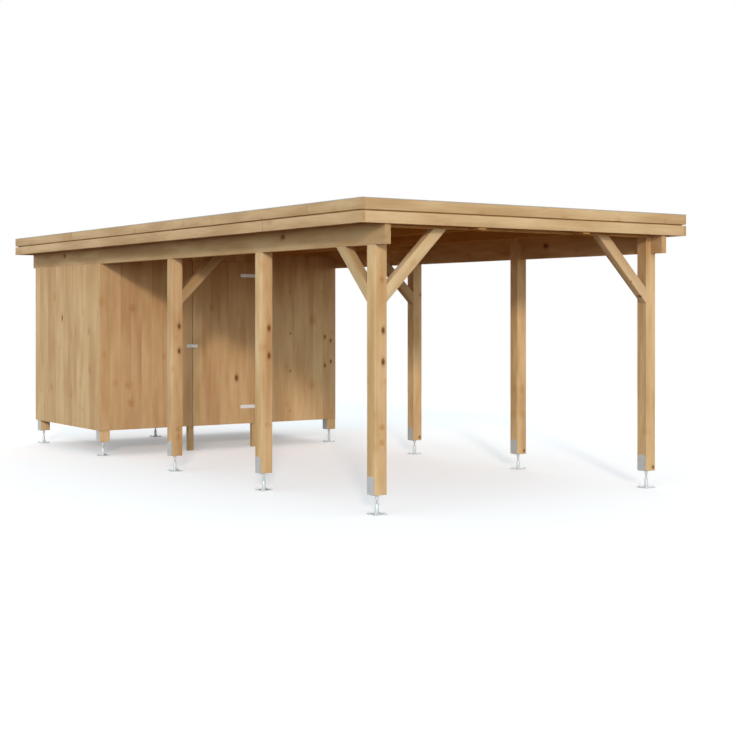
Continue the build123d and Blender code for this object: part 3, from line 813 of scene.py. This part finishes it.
def on_left(places, radius, tall=0.8):
    """Marks in the left wall's face, from their places along it and their heights."""
    face = box("wall_left")[0].x
    return [((face, y, z), radius, (0.4, 1, tall)) for y, z in places]


def on_front(places, radius, tall=0.8):
    """Marks in the front wall's face."""
    face = box("wall_front_left")[0].y
    return [((x, face, z), radius, (1, 0.4, tall)) for x, z in places]


LEFT_TONES = (0.60, 0.40, 0.65, 0.90, 0.80, 0.35, 0.30, 0.50, 0.80, 0.75, 0.15, 0.20, 0.85, 0.70, 0.95)
FRONT_LEFT_TONES = (0.45, 0.35, 0.10, 0.20, 0.80, 0.50, 0.35, 0.55, 0.40)
FRONT_RIGHT_TONES = (0.90, 0.95, 0.60, 0.75, 0.85, 0.60, 0.95, 0.30)
DOOR_TONES = (0.95, 0.20, 0.25, 0.45, 0.65, 0.50, 0.45)
CORNER_BOARD_FROM = 1.42


def add_cladding():
    """Upright boards on the four sides of the store room."""
    knots = on_left(((2.958, 1.603),), 0.017, 0.5)
    swirls = on_left(
        ((3.205, 1.867), (2.123, 1.446), (2.102, 0.995), (3.312, 0.743), (2.660, 0.684)), 0.062, 0.7)
    clad_side("wall_left", LEFT_TONES, chosen=knots, swirls=swirls)
    clad_side("wall_right", amount=0.06)
    clad_end("wall_back", ("first", "last"), amount=0.06)
    swirls = on_front(((-1.228, 1.725), (-1.275, 0.819), (-1.250, 0.607)), 0.068, 0.9)
    clad_end("wall_front_left", ("first",), FRONT_LEFT_TONES, swirls=swirls)
    knots = on_front(((1.454, 1.359), (1.454, 0.988), (1.543, 1.309), (1.543, 1.038)), 0.0125, 0.6)
    knots += on_front(((0.935, 1.407), (0.935, 0.933)), 0.0065)
    swirls = on_front(((0.935, 1.927), (0.935, 1.407), (0.935, 0.933), (0.935, 0.427)), 0.030)
    swirls += on_front(((1.269, 1.574), (1.254, 0.743)), 0.080, 0.7)
    clad_end("wall_front_right", ("last",), FRONT_RIGHT_TONES, CORNER_BOARD_FROM, chosen=knots, swirls=swirls)
    clad_end("wall_front_top", (), DOOR_TONES[:6])


RAIL = 0.060
RAIL_LOW, RAIL_MIDDLE = 0.325, 1.237
RAIL_ROUNDING = 0.003
JAMB = 0.070
DOOR_HEAD = 2.268


def add_rails():
    """Three rails between the posts on every side, and the head over the door."""
    frame_out = box("side_beam_right")[1].x
    inner = frame_out - POST_SIDE
    store = box("left_post_4")[0].y
    last = box("left_post_5")[0].y
    back = last + POST_SIDE - RAIL
    door_left, door_right = (corner.x for corner in box("door_posts"))
    side_top, cross_top = NOTCH_BOTTOM - RAIL, box("cross_beam_store")[0].z - RAIL
    bm = start()
    for z in (RAIL_LOW, RAIL_MIDDLE, side_top):
        for x in (-frame_out, frame_out - RAIL):
            board(bm, (x, store + POST_SIDE, z), (x + RAIL, last, z + RAIL), "Y", RAIL_ROUNDING)
    runs = ((-inner, -POST_SIDE / 2, back), (POST_SIDE / 2, inner, back),
            (-inner, door_left, store), (door_right, inner, store))
    for z in (RAIL_LOW, RAIL_MIDDLE, cross_top):
        for x0, x1, y in runs:
            board(bm, (x0, y, z), (x1, y + RAIL, z + RAIL), "X", RAIL_ROUNDING)
    board(bm, (door_left + JAMB, store, DOOR_HEAD), (door_right - JAMB, store + RAIL, cross_top + RAIL), "X",
          RAIL_ROUNDING)
    material = board_wood("rail_wood", INNER_WOOD, "X", 0.15, sawn=0.35, arris_highlight=None)
    finish_piece(bm, "wall_rail_timbers", [material], ["wall_rails"])


# ---- door ----
DOOR_BOARD_WIDTH = 0.122
LEDGE_CENTRES = (0.507, 1.267, 2.127)
LEDGE_HALF = 0.045
LEDGE_GAP = 0.001
DIAGONAL_FOOT = 0.090


def add_door():
    """Upright boards on three ledges and two diagonals."""
    low, high = box("door_leaf")
    knots = on_front(((0.159, 0.865),), 0.019, 0.55)
    swirls = on_front(((-0.180, 1.730), (0.159, 0.865)), 0.050)
    bm = start()
    clad(bm, steps(low.x, high.x, DOOR_BOARD_WIDTH), low, high, "X", DOOR_TONES)
    finish_cladding(bm, "door", "door_leaf", 0.0, knots, swirls, "door")
    low, high = box("door_ledges")
    bm = start()
    for z in LEDGE_CENTRES:
        board(bm, (low.x, low.y, z - LEDGE_HALF), (high.x, high.y, z + LEDGE_HALF), "X", 0.003)
    for lower, upper in pairwise(LEDGE_CENTRES):
        a, b = lower + LEDGE_HALF + LEDGE_GAP, upper - LEDGE_HALF - LEDGE_GAP
        outline = [Vector((x, low.y, z)) for x, z in (
            (high.x, a), (low.x + DIAGONAL_FOOT, b), (low.x, b), (high.x - DIAGONAL_FOOT, a))]
        made = push_out(bm, outline, Y_AXIS * (high.y - low.y))
        along = (outline[1] - outline[0]).normalized()
        round_edges(bm, made, 0.003, along, 2)
        settle(bm, (outline[0] + outline[2]) / 2, along.cross(Y_AXIS), Y_AXIS, along)
    material = board_wood("ledge_wood", INNER_WOOD, "X", 0.15, arris_highlight=None)
    finish_piece(bm, "door_ledge_boards", [material], ["door_ledges"], "door")


# ---- steel feet and hardware ----
def bar(bm, centre, radius, z0, z1, sides, chamfer):
    """An upright bar with its end edges chamfered."""
    made = bmesh.ops.create_cone(bm, cap_ends=True, segments=sides, radius1=radius, radius2=radius,
                                 depth=z1 - z0)["verts"]
    bmesh.ops.translate(bm, vec=(*centre, (z0 + z1) / 2), verts=made)
    bm.edges.index_update()
    rims = {e for v in made for e in v.link_edges if abs(e.verts[0].co.z - e.verts[1].co.z) < 1e-6}
    bevel(bm, sorted(rims, key=lambda e: e.index), chamfer, 2)


def thread(bm, centre, z0, z1, root, crest, pitch):
    """A threaded spindle, as rings of crests and roots."""
    count = round((z1 - z0) / pitch)
    section = [Vector((root, 0, z0))]
    for i in range(count):
        section += [Vector((crest, 0, z0 + (i + 0.5) * (z1 - z0) / count)),
                    Vector((root, 0, z0 + (i + 1) * (z1 - z0) / count))]
    points = [bm.verts.new(p + Vector((centre[0], centre[1], 0))) for p in section]
    edges = [bm.edges.new(pair) for pair in pairwise(points)]
    bmesh.ops.spin(bm, geom=points + edges, cent=(centre[0], centre[1], 0), axis=(0, 0, 1), angle=2 * math.pi,
                   steps=20, use_merge=True, use_duplicate=False)


def head(bm, place, out, radius, height, sides=8, crown=0.8, sunk=0.0001):
    """A screw or nail head that stands on a face and narrows outwards."""
    made = bmesh.ops.create_cone(bm, cap_ends=True, segments=sides, radius1=radius, radius2=radius * crown,
                                 depth=height)["verts"]
    bmesh.ops.rotate(bm, verts=made, cent=(0, 0, 0), matrix=Z_AXIS.rotation_difference(out).to_matrix())
    bmesh.ops.translate(bm, verts=made, vec=Vector(place) + out * (height / 2 - sunk))


FOOT_PLATE = Vector((0.0625, 0.0625, 0))
PLATE_THICKNESS = 0.008
# Bars of a foot: radius, bottom, top, sides and chamfer. Its spindle: bottom, top, root, crest and pitch.
TUBE_BARS = ((0.017, 0.0075, 0.086, 24, 0.001), (0.021, 0.0078, 0.0115, 24, 0.0018))
SPINDLE = (0.085, 0.128, 0.0088, 0.0102, 0.003)
NUT_BARS = ((0.018, 0.127, 0.137, 6, 0.0012), (0.015, 0.1365, 0.1635, 24, 0.001),
            (0.018, 0.1605, 0.1632, 24, 0.0013))
ANCHOR_PLACE = 0.045
ANCHOR_BARS = ((0.011, 0.0078, 0.0098, 16, 0.0006), (0.0085, 0.0096, 0.0165, 6, 0.0009),
               (0.005, 0.016, 0.0215, 12, 0.0008))
SHOE_HALF = 0.048
SHOE_STEEL = 0.005
SHOE_CORNER = 0.028
SEAT_OVERLAP, SEAT_INSET = 0.0002, 0.0001
SHOE_SCREWS = ((-0.026, 0.215), (0.026, 0.215), (-0.026, 0.262), (0.026, 0.262))
SHOE_SCREW_CROWN = 0.0060 / 0.0065
SHOE_FACE = 1


def shoe_side(bm, x0, y, low, top):
    """An upright side plate of a shoe, with its two upper corners rounded."""
    outline = [Vector((x0, y - SHOE_HALF, low)), Vector((x0, y + SHOE_HALF, low)),
               Vector((x0, y + SHOE_HALF, top)), Vector((x0, y - SHOE_HALF, top))]
    earlier = set(fresh(bm))
    push_out(bm, outline, X_AXIS * SHOE_STEEL)
    made = [v for v in fresh(bm) if v not in earlier]
    upper = [e for v in made for e in v.link_edges
             if abs(e.verts[0].co.z - top) < 1e-6 and abs(e.verts[1].co.z - top) < 1e-6
             and abs(e.verts[0].co.x - e.verts[1].co.x) > 1e-4]
    bevel(bm, list(dict.fromkeys(upper)), SHOE_CORNER, 8)


def add_feet():
    """Base plate, tube, threaded spindle, nut and shoe under each post."""
    top = box("feet")[1].z
    seat = box("left_post_1")[0].z
    half = POST_SIDE / 2
    bm = start()
    posts = [f"{side}_post_{n}" for side in ("left", "right") for n in range(1, 6)] + ["back_post"]
    for x, y in (middle(post).to_2d() for post in posts):
        centre = Vector((x, y, 0))
        plate = block(bm, centre - FOOT_PLATE, centre + FOOT_PLATE + Z_AXIS * PLATE_THICKNESS)
        round_edges(bm, plate, 0.0015, None, 2)
        for sizes in TUBE_BARS:
            bar(bm, (x, y), *sizes)
        thread(bm, (x, y), *SPINDLE)
        for sizes in NUT_BARS:
            bar(bm, (x, y), *sizes)
        for dx in (-ANCHOR_PLACE, ANCHOR_PLACE):
            for dy in (-ANCHOR_PLACE, ANCHOR_PLACE):
                for sizes in ANCHOR_BARS:
                    bar(bm, (x + dx, y + dy), *sizes)
        settle(bm, centre)
        before = set(bm.faces)
        centre.z = seat
        reach = Vector((half + SEAT_OVERLAP, SHOE_HALF - SEAT_INSET, 0))
        block(bm, centre - reach - Z_AXIS * (SHOE_STEEL - SEAT_INSET), centre + reach)
        for x0, out in ((x - half - SHOE_STEEL, -1), (x + half, 1)):
            shoe_side(bm, x0, y, seat - SHOE_STEEL, top)
            face_x = x0 if out < 0 else x0 + SHOE_STEEL
            for dy, z in SHOE_SCREWS:
                head(bm, (face_x, y + dy, z), X_AXIS * out, 0.0065, 0.004, 6, SHOE_SCREW_CROWN, 0.0002)
        for face in set(bm.faces) - before:
            face.material_index = SHOE_FACE
        settle(bm, centre)
    bright = zinc_material("foot_zinc", (0.66, 0.67, 0.68, 1), (0.53, 0.54, 0.55, 1), 240.0)
    dull = zinc_material("shoe_zinc", (0.53, 0.52, 0.51, 1), (0.41, 0.40, 0.39, 1), 130.0, 0.55)
    finish_piece(bm, "feet_steel", [bright, dull], ["feet"])


def dress_hardware(steel):
    """Zinc-plated steel for the hinges, hasp and staple, and mill finish for the roof's edge trim."""
    for node in ("hinge_straps", "hinge_plates", "latch_plate", "latch_hasp", "latch_staple"):
        dress(node, steel)
    dress("roof_edge_trim", zinc_material("edge_trim", (0.48, 0.45, 0.40, 1), (0.39, 0.37, 0.33, 1), 9.0, 0.3))


# ---- screws and nails ----
NAIL_RADIUS = 0.0026
NAIL_HEIGHT = 0.0005
NAIL_INSET = 0.034
RAIL_NAILS = (0.355, 1.267, 2.205)
CROSS_RAIL_NAILS = (0.355, 1.267, 2.350)
BACK_RAIL_NAILS = (0.355, 1.267, 2.225)


def nail_boards(bm, edges, heights, place, out):
    """Two nails in each board at each height; place turns a position across and a height into a point."""
    for first, last in pairwise(edges):
        inset = min(NAIL_INSET, (last - first) / 3)
        for z in heights:
            for across in (first + inset, last - inset):
                head(bm, place(across, z + dice.uniform(-0.002, 0.002)), out, NAIL_RADIUS, NAIL_HEIGHT)


def add_cladding_nails(material):
    """Nails through the cladding into the rails, and through the door's boards into its ledges."""
    bm = bmesh.new()
    for node, side in (("wall_left", -1), ("wall_right", 1)):
        low, high = box(node)
        face = low.x if side < 0 else high.x
        nail_boards(bm, steps(low.y, high.y, BOARD_WIDTH), RAIL_NAILS,
                    lambda across, z, face=face: (face, across, z), X_AXIS * side)
    low, high = box("wall_back")
    nail_boards(bm, steps(low.x, high.x, BOARD_WIDTH), BACK_RAIL_NAILS,
                lambda across, z: (across, high.y, z), Y_AXIS)
    left, right = box("wall_front_left"), box("wall_front_right")
    for edges in (steps(left[0].x, left[1].x, BOARD_WIDTH)[1:],
                  steps(right[0].x, CORNER_BOARD_FROM, BOARD_WIDTH)):
        nail_boards(bm, edges, CROSS_RAIL_NAILS, lambda across, z: (across, left[0].y, z), -Y_AXIS)
    finish_piece(bm, "cladding_nails", [material])
    low, high = box("door_leaf")
    edges = steps(low.x, high.x, DOOR_BOARD_WIDTH)
    bm = bmesh.new()
    for z in LEDGE_CENTRES:
        for first, last in pairwise(edges):
            for across, rise in ((first + NAIL_INSET, -0.032), (last - NAIL_INSET, 0.032)):
                head(bm, (across, low.y, z + rise), -Y_AXIS, NAIL_RADIUS, NAIL_HEIGHT)
    finish_piece(bm, "door_nails", [material], body="door")


FASCIA_SCREW_END = 0.10
FASCIA_SCREW_STEP = 0.94


def add_fascia_screws(material):
    """Pairs of screws along both rows of fascia boards."""
    bm = bmesh.new()
    for node, along, out in (("fascia_left", Y_AXIS, -X_AXIS), ("fascia_right", Y_AXIS, X_AXIS),
                             ("fascia_front", X_AXIS, -Y_AXIS), ("fascia_back", X_AXIS, Y_AXIS)):
        low, high = box(node)
        tall = (high.z - low.z - GROOVE) / 2
        face = max(low.dot(out), high.dot(out))
        ends = low.dot(along) + FASCIA_SCREW_END, high.dot(along) - FASCIA_SCREW_END
        for across in steps(*ends, FASCIA_SCREW_STEP):
            for bottom in (low.z, high.z - tall):
                for share in (0.26, 0.74):
                    place = along * across + out * face + Z_AXIS * (bottom + tall * share)
                    head(bm, place, out, 0.0036, 0.0006)
    finish_piece(bm, "fascia_screws", [material])


def screw(bm, x, y, z, radius, height):
    """A pan-headed screw in a plate that faces the front."""
    head(bm, (x, y, z), -Y_AXIS, radius, height, 12, 0.6)


STRAP_THICKNESS = 0.004
LATCH_THICKNESS = 0.003
STRAP_SCREWS = (0.018, 0.078, 0.138)


def add_hardware_screws(material):
    """Screws in the hinges, the hasp's base and the staple's plate."""
    door, fixed = bmesh.new(), bmesh.new()
    strap_start = box("hinge_straps")[0].x
    plate_end = box("hinge_plates")[1].x
    leaf_face = box("door_leaf")[0].y
    wall_face = box("wall_front_right")[0].y
    latch_height = LEDGE_CENTRES[1]
    for z in (LEDGE_CENTRES[0], LEDGE_CENTRES[2]):
        for inset in STRAP_SCREWS:
            screw(door, strap_start + inset, leaf_face - STRAP_THICKNESS, z, 0.0052, 0.0022)
        for rise in (-0.012, 0.012):
            screw(fixed, plate_end - 0.014, wall_face - STRAP_THICKNESS, z + rise, 0.0046, 0.0020)
    base_end = box("latch_plate")[1].x
    for rise in (-0.010, 0.010):
        screw(door, base_end - 0.010, leaf_face - LATCH_THICKNESS, latch_height + rise, 0.0038, 0.0018)
    staple_low, staple_high = box("latch_staple")
    for x in (staple_low.x + 0.007, staple_high.x - 0.007):
        for rise in (-0.011, 0.011):
            screw(fixed, x, staple_high.y - LATCH_THICKNESS, latch_height + rise, 0.0034, 0.0015)
    finish_piece(door, "door_hardware_screws", [material], body="door")
    finish_piece(fixed, "post_hardware_screws", [material])


UPTURN_THICKNESS = 0.0022
UPTURN_BELOW_EDGE = 0.004
UPTURN_TUCK = 0.0004


def add_upturn():
    """The roof membrane dressed up the inner faces of the battens."""
    high = box("fascia_battens")[1]
    bottom = box("roof_covering")[1].z - UPTURN_TUCK
    inner_x, inner_y, sheet = high.x - BATTEN, high.y - BATTEN, UPTURN_THICKNESS
    top = high.z - UPTURN_BELOW_EDGE
    bm = start()
    for x in (-inner_x, inner_x - sheet):
        block(bm, (x, -inner_y, bottom), (x + sheet, inner_y, top))
    for y in (-inner_y, inner_y - sheet):
        block(bm, (-inner_x + sheet, y, bottom), (inner_x - sheet, y + sheet, top))
    settle(bm, Vector((0, 0, 0)))
    membrane = membrane_material("membrane_upturn")
    finish_piece(bm, "membrane_upturn", [membrane], smooth=False)


# ---- floor, backdrop and light ----
WHITE = (1, 1, 1, 1)


def add_floor():
    """A pale floor that fades into the white backdrop. What it throws back on the timber is darker."""
    bm = bmesh.new()
    bmesh.ops.create_circle(bm, cap_ends=True, radius=60.0, segments=64)
    mesh = bpy.data.meshes.new("floor")
    bm.to_mesh(mesh)
    bm.free()
    material = bpy.data.materials.new("floor")
    tree = blank_tree(material)
    place = object_place(tree)
    grit = noise(tree, place, 3.0, 3.0)
    pale = mix(tree, grit, (0.915, 0.815, 0.775, 1), (0.945, 0.845, 0.805, 1))
    lit = add(tree, "BsdfDiffuse", {"Color": pale}).outputs[0]
    glow = add(tree, "Emission", {"Color": WHITE, "Strength": 0.29}).outputs[0]
    near = add(tree, "AddShader", {0: lit, 1: glow}).outputs[0]
    white = add(tree, "Emission", {"Color": WHITE, "Strength": 1.0}).outputs[0]
    far = fade(tree, length(tree, place), 7.0, 16.0)
    shown = add(tree, "MixShader", {0: far, 1: near, 2: white}).outputs[0]
    dark = add(tree, "BsdfDiffuse", {"Color": (0.24, 0.12, 0.05, 1)}).outputs[0]
    both = add(tree, "MixShader", {0: seen_rays(tree), 1: dark, 2: shown}).outputs[0]
    add(tree, "OutputMaterial", {0: both})
    mesh.materials.append(material)
    new_object("floor", mesh)


def add_sun(name, towards, strength, softness, colour):
    """A distant lamp that shines along a direction."""
    data = bpy.data.lights.new(name, "SUN")
    data.energy = strength
    data.angle = math.radians(softness)
    data.color = colour
    new_object(name, data).rotation_euler = Vector(towards).to_track_quat("-Z", "Y").to_euler()


def add_light():
    """A low key lamp from the front left, soft ones from the front, left and back, and a pale sky."""
    scene.view_settings.view_transform = "Standard"
    add_sun("key", (0.60, 1.0, -0.33), 1.50, 5, (1.0, 0.86, 0.745))
    add_sun("low", (0.30, 1.0, -0.11), 0.46, 14, (0.78, 0.94, 1.0))
    add_sun("side", (1.0, 0.25, -0.35), 1.0, 60, (0.50, 0.80, 1.0))
    add_sun("back", (-0.7, -1.0, -0.45), 0.50, 60, (1.0, 0.92, 0.84))
    scene.world = bpy.data.worlds.new("sky")
    tree = blank_tree(scene.world)
    rise = split(tree, add(tree, "TexCoord").outputs["Generated"])[2]
    sky = mix(tree, fade(tree, rise, 0.03, 0.42), (0.95, 0.975, 0.85, 1), (0.30, 0.395, 0.46, 1))
    soft = add(tree, "Background", {"Color": sky, "Strength": 1.82}).outputs[0]
    white = add(tree, "Background", {"Color": WHITE, "Strength": 1.0}).outputs[0]
    both = add(tree, "MixShader", {0: seen_rays(tree), 1: soft, 2: white}).outputs[0]
    add(tree, "OutputWorld", {0: both})


add_camera()
add_floor()
add_light()
dress_frame()
add_braces()
add_fascia()
add_battens()
add_deck()
add_covering()
add_cladding()
add_rails()
add_door()
add_feet()
plated = zinc_material("plated_steel", (0.76, 0.75, 0.73, 1), (0.64, 0.63, 0.61, 1), 320.0)
dress_hardware(plated)
small_steel = zinc_material("coated_screws", (0.46, 0.34, 0.20, 1), (0.34, 0.25, 0.14, 1), 700.0)
add_cladding_nails(small_steel)
add_fascia_screws(small_steel)
add_hardware_screws(plated)
add_upturn()
